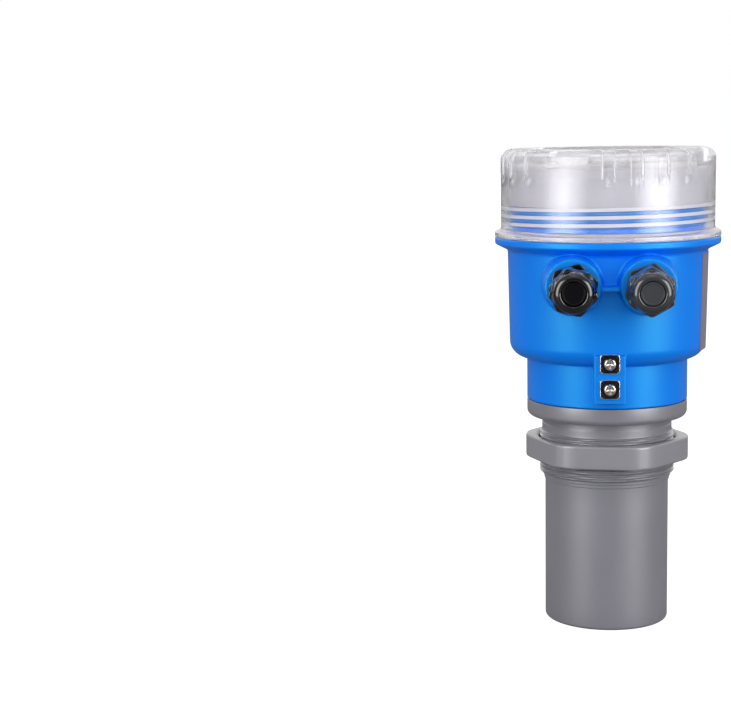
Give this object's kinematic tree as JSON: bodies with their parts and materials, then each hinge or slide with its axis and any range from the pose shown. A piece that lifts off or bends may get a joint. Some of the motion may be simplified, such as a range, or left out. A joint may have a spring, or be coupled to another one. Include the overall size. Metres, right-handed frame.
{
  "type": "ultrasonic level sensor",
  "caption": "Upright ultrasonic level sensor with a grey threaded transducer and lock nut, a blue housing, black cable glands, an earth terminal and a clear screw lid over a display.",
  "frame": {"origin": "centre of the flat sensing face, on the axis of the barrel", "axes": "+Z along the barrel from the sensing face to the lid, -Y the way the cable glands point"},
  "size_m": [0.0996, 0.1326, 0.212],
  "materials": {
    "transducer_grey": "satin moulded grey plastic",
    "nut_grey": "satin moulded grey plastic",
    "matching_epoxy": "filled epoxy",
    "piezo_ceramic": "silvered ceramic",
    "potting_resin": "cast resin",
    "wire_red": "insulated wire",
    "seal_rubber": "black rubber",
    "housing_blue": "satin moulded blue plastic",
    "gland_nylon": "black nylon",
    "plug_nylon": "black nylon",
    "insert_brass": "turned brass",
    "washer_nickel": "nickel-plated steel",
    "screw_nickel": "nickel-plated steel",
    "board_green": "solder-masked board",
    "screw_steel": "zinc-plated steel",
    "terminal_green": "moulded green plastic",
    "transformer_tape": "taped winding",
    "capacitor_sleeve": "shrink sleeve",
    "ribbon_grey": "flat cable",
    "carrier_grey": "light grey moulded plastic",
    "lcd_glass": "reflective display glass",
    "switch_plastic": "black plastic",
    "key_rubber": "dark grey rubber",
    "lid_clear": "clear polycarbonate"
  },
  "bodies": {
    "sensor": {"transducer_body": "transducer_grey", "matching_layer": "matching_epoxy", "piezo_disc": "piezo_ceramic", "potting": "potting_resin", "temperature_sensor": "potting_resin", "transducer_wires": "wire_red", "collar_seal": "seal_rubber", "housing": "housing_blue", "gland_washer_left": "seal_rubber", "gland_washer_right": "seal_rubber", "gland_body_left": "gland_nylon", "gland_body_right": "gland_nylon", "gland_seal_left": "seal_rubber", "gland_seal_right": "seal_rubber", "earth_inserts": "insert_brass", "earth_washers": "washer_nickel", "earth_screws": "screw_nickel", "main_board": "board_green", "board_screws": "screw_steel", "terminal_block": "terminal_green", "drive_transformer": "transformer_tape", "capacitors": "capacitor_sleeve", "ribbon_cable": "ribbon_grey", "display_carrier": "carrier_grey", "carrier_screws": "screw_steel", "display_board": "board_green", "lcd_panel": "lcd_glass", "key_switches": "switch_plastic", "display_screws": "screw_steel"},
    "lock_nut": {"lock_nut": "nut_grey"},
    "lid_seal": {"lid_seal": "seal_rubber"},
    "lid": {"lid": "lid_clear"},
    "gland_plug_left": {"gland_plug_left": "plug_nylon"},
    "gland_nut_left": {"gland_nut_left": "gland_nylon"},
    "gland_plug_right": {"gland_plug_right": "plug_nylon"},
    "gland_nut_right": {"gland_nut_right": "gland_nylon"},
    "set_key": {"set_key": "key_rubber"},
    "up_key": {"up_key": "key_rubber"},
    "down_key": {"down_key": "key_rubber"}
  },
  "joints": [
    {"name": "lid_lift", "type": "slide", "parent": "sensor", "child": "lid_seal", "axis": [0, 0, 1], "range_m": [0, 0.00995]},
    {"name": "lid_turn", "type": "hinge", "parent": "lid_seal", "child": "lid", "pos_m": [0, 0, 0.19], "axis": [0, 0, 1], "range_deg": [0, 1080]},
    {"name": "nut_travel", "type": "slide", "parent": "sensor", "child": "lock_nut", "axis": [0, 0, -1], "range_m": [-0.0041, 0.0724]},
    {"name": "gland_left_advance", "type": "slide", "parent": "sensor", "child": "gland_plug_left", "axis": [0, -1, 0], "range_m": [-0.0015, 0.0045]},
    {"name": "gland_left_turn", "type": "hinge", "parent": "gland_plug_left", "child": "gland_nut_left", "pos_m": [-0.0157, -0.07, 0.1554], "axis": [0, -1, 0], "range_deg": [-365, 1095]},
    {"name": "gland_right_advance", "type": "slide", "parent": "sensor", "child": "gland_plug_right", "axis": [0, -1, 0], "range_m": [-0.0015, 0.0045]},
    {"name": "gland_right_turn", "type": "hinge", "parent": "gland_plug_right", "child": "gland_nut_right", "pos_m": [0.0157, -0.07, 0.1554], "axis": [0, -1, 0], "range_deg": [-365, 1095]},
    {"name": "set_key_press", "type": "slide", "parent": "sensor", "child": "set_key", "axis": [0, 0, -1], "range_m": [0, 0.0006], "stiffness_N_per_m": 800},
    {"name": "up_key_press", "type": "slide", "parent": "sensor", "child": "up_key", "axis": [0, 0, -1], "range_m": [0, 0.0006], "stiffness_N_per_m": 800},
    {"name": "down_key_press", "type": "slide", "parent": "sensor", "child": "down_key", "axis": [0, 0, -1], "range_m": [0, 0.0006], "stiffness_N_per_m": 800}
  ],
  "couplings": [
    {"joint": "lid_lift", "follows": "lid_turn", "m_per_rad": 0.00052521},
    {"joint": "gland_left_turn", "follows": "gland_left_advance", "rad_per_m": 4188.8},
    {"joint": "gland_right_turn", "follows": "gland_right_advance", "rad_per_m": 4188.8}
  ]
}
